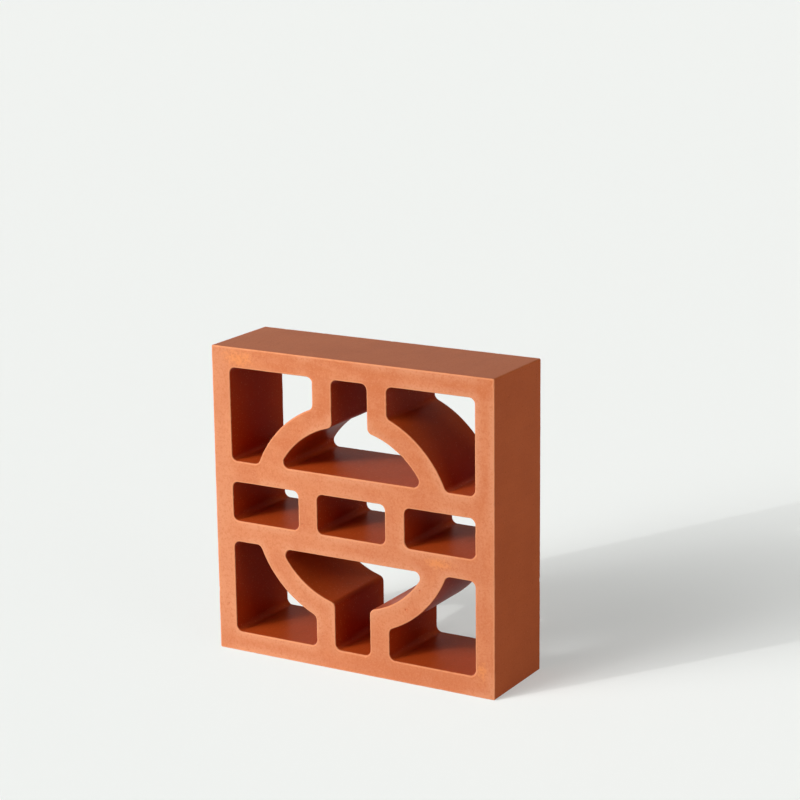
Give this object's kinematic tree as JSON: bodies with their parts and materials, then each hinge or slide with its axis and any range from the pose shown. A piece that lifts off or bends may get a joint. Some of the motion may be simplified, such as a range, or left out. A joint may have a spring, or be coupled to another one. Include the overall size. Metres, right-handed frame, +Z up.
{
  "type": "breeze block",
  "caption": "Square fired-clay ventilation block, pierced from front to back by a ring-and-bars pattern of straight cells.",
  "frame": {"origin": "centre of the bottom bed face", "axes": "+X to the right along the front face, +Y from the front face to the back face, +Z up"},
  "size_m": [0.3, 0.091, 0.3],
  "materials": {
    "fired_clay": "matte"
  },
  "bodies": {
    "root": {"breeze_block": "fired_clay"}
  },
  "joints": []
}
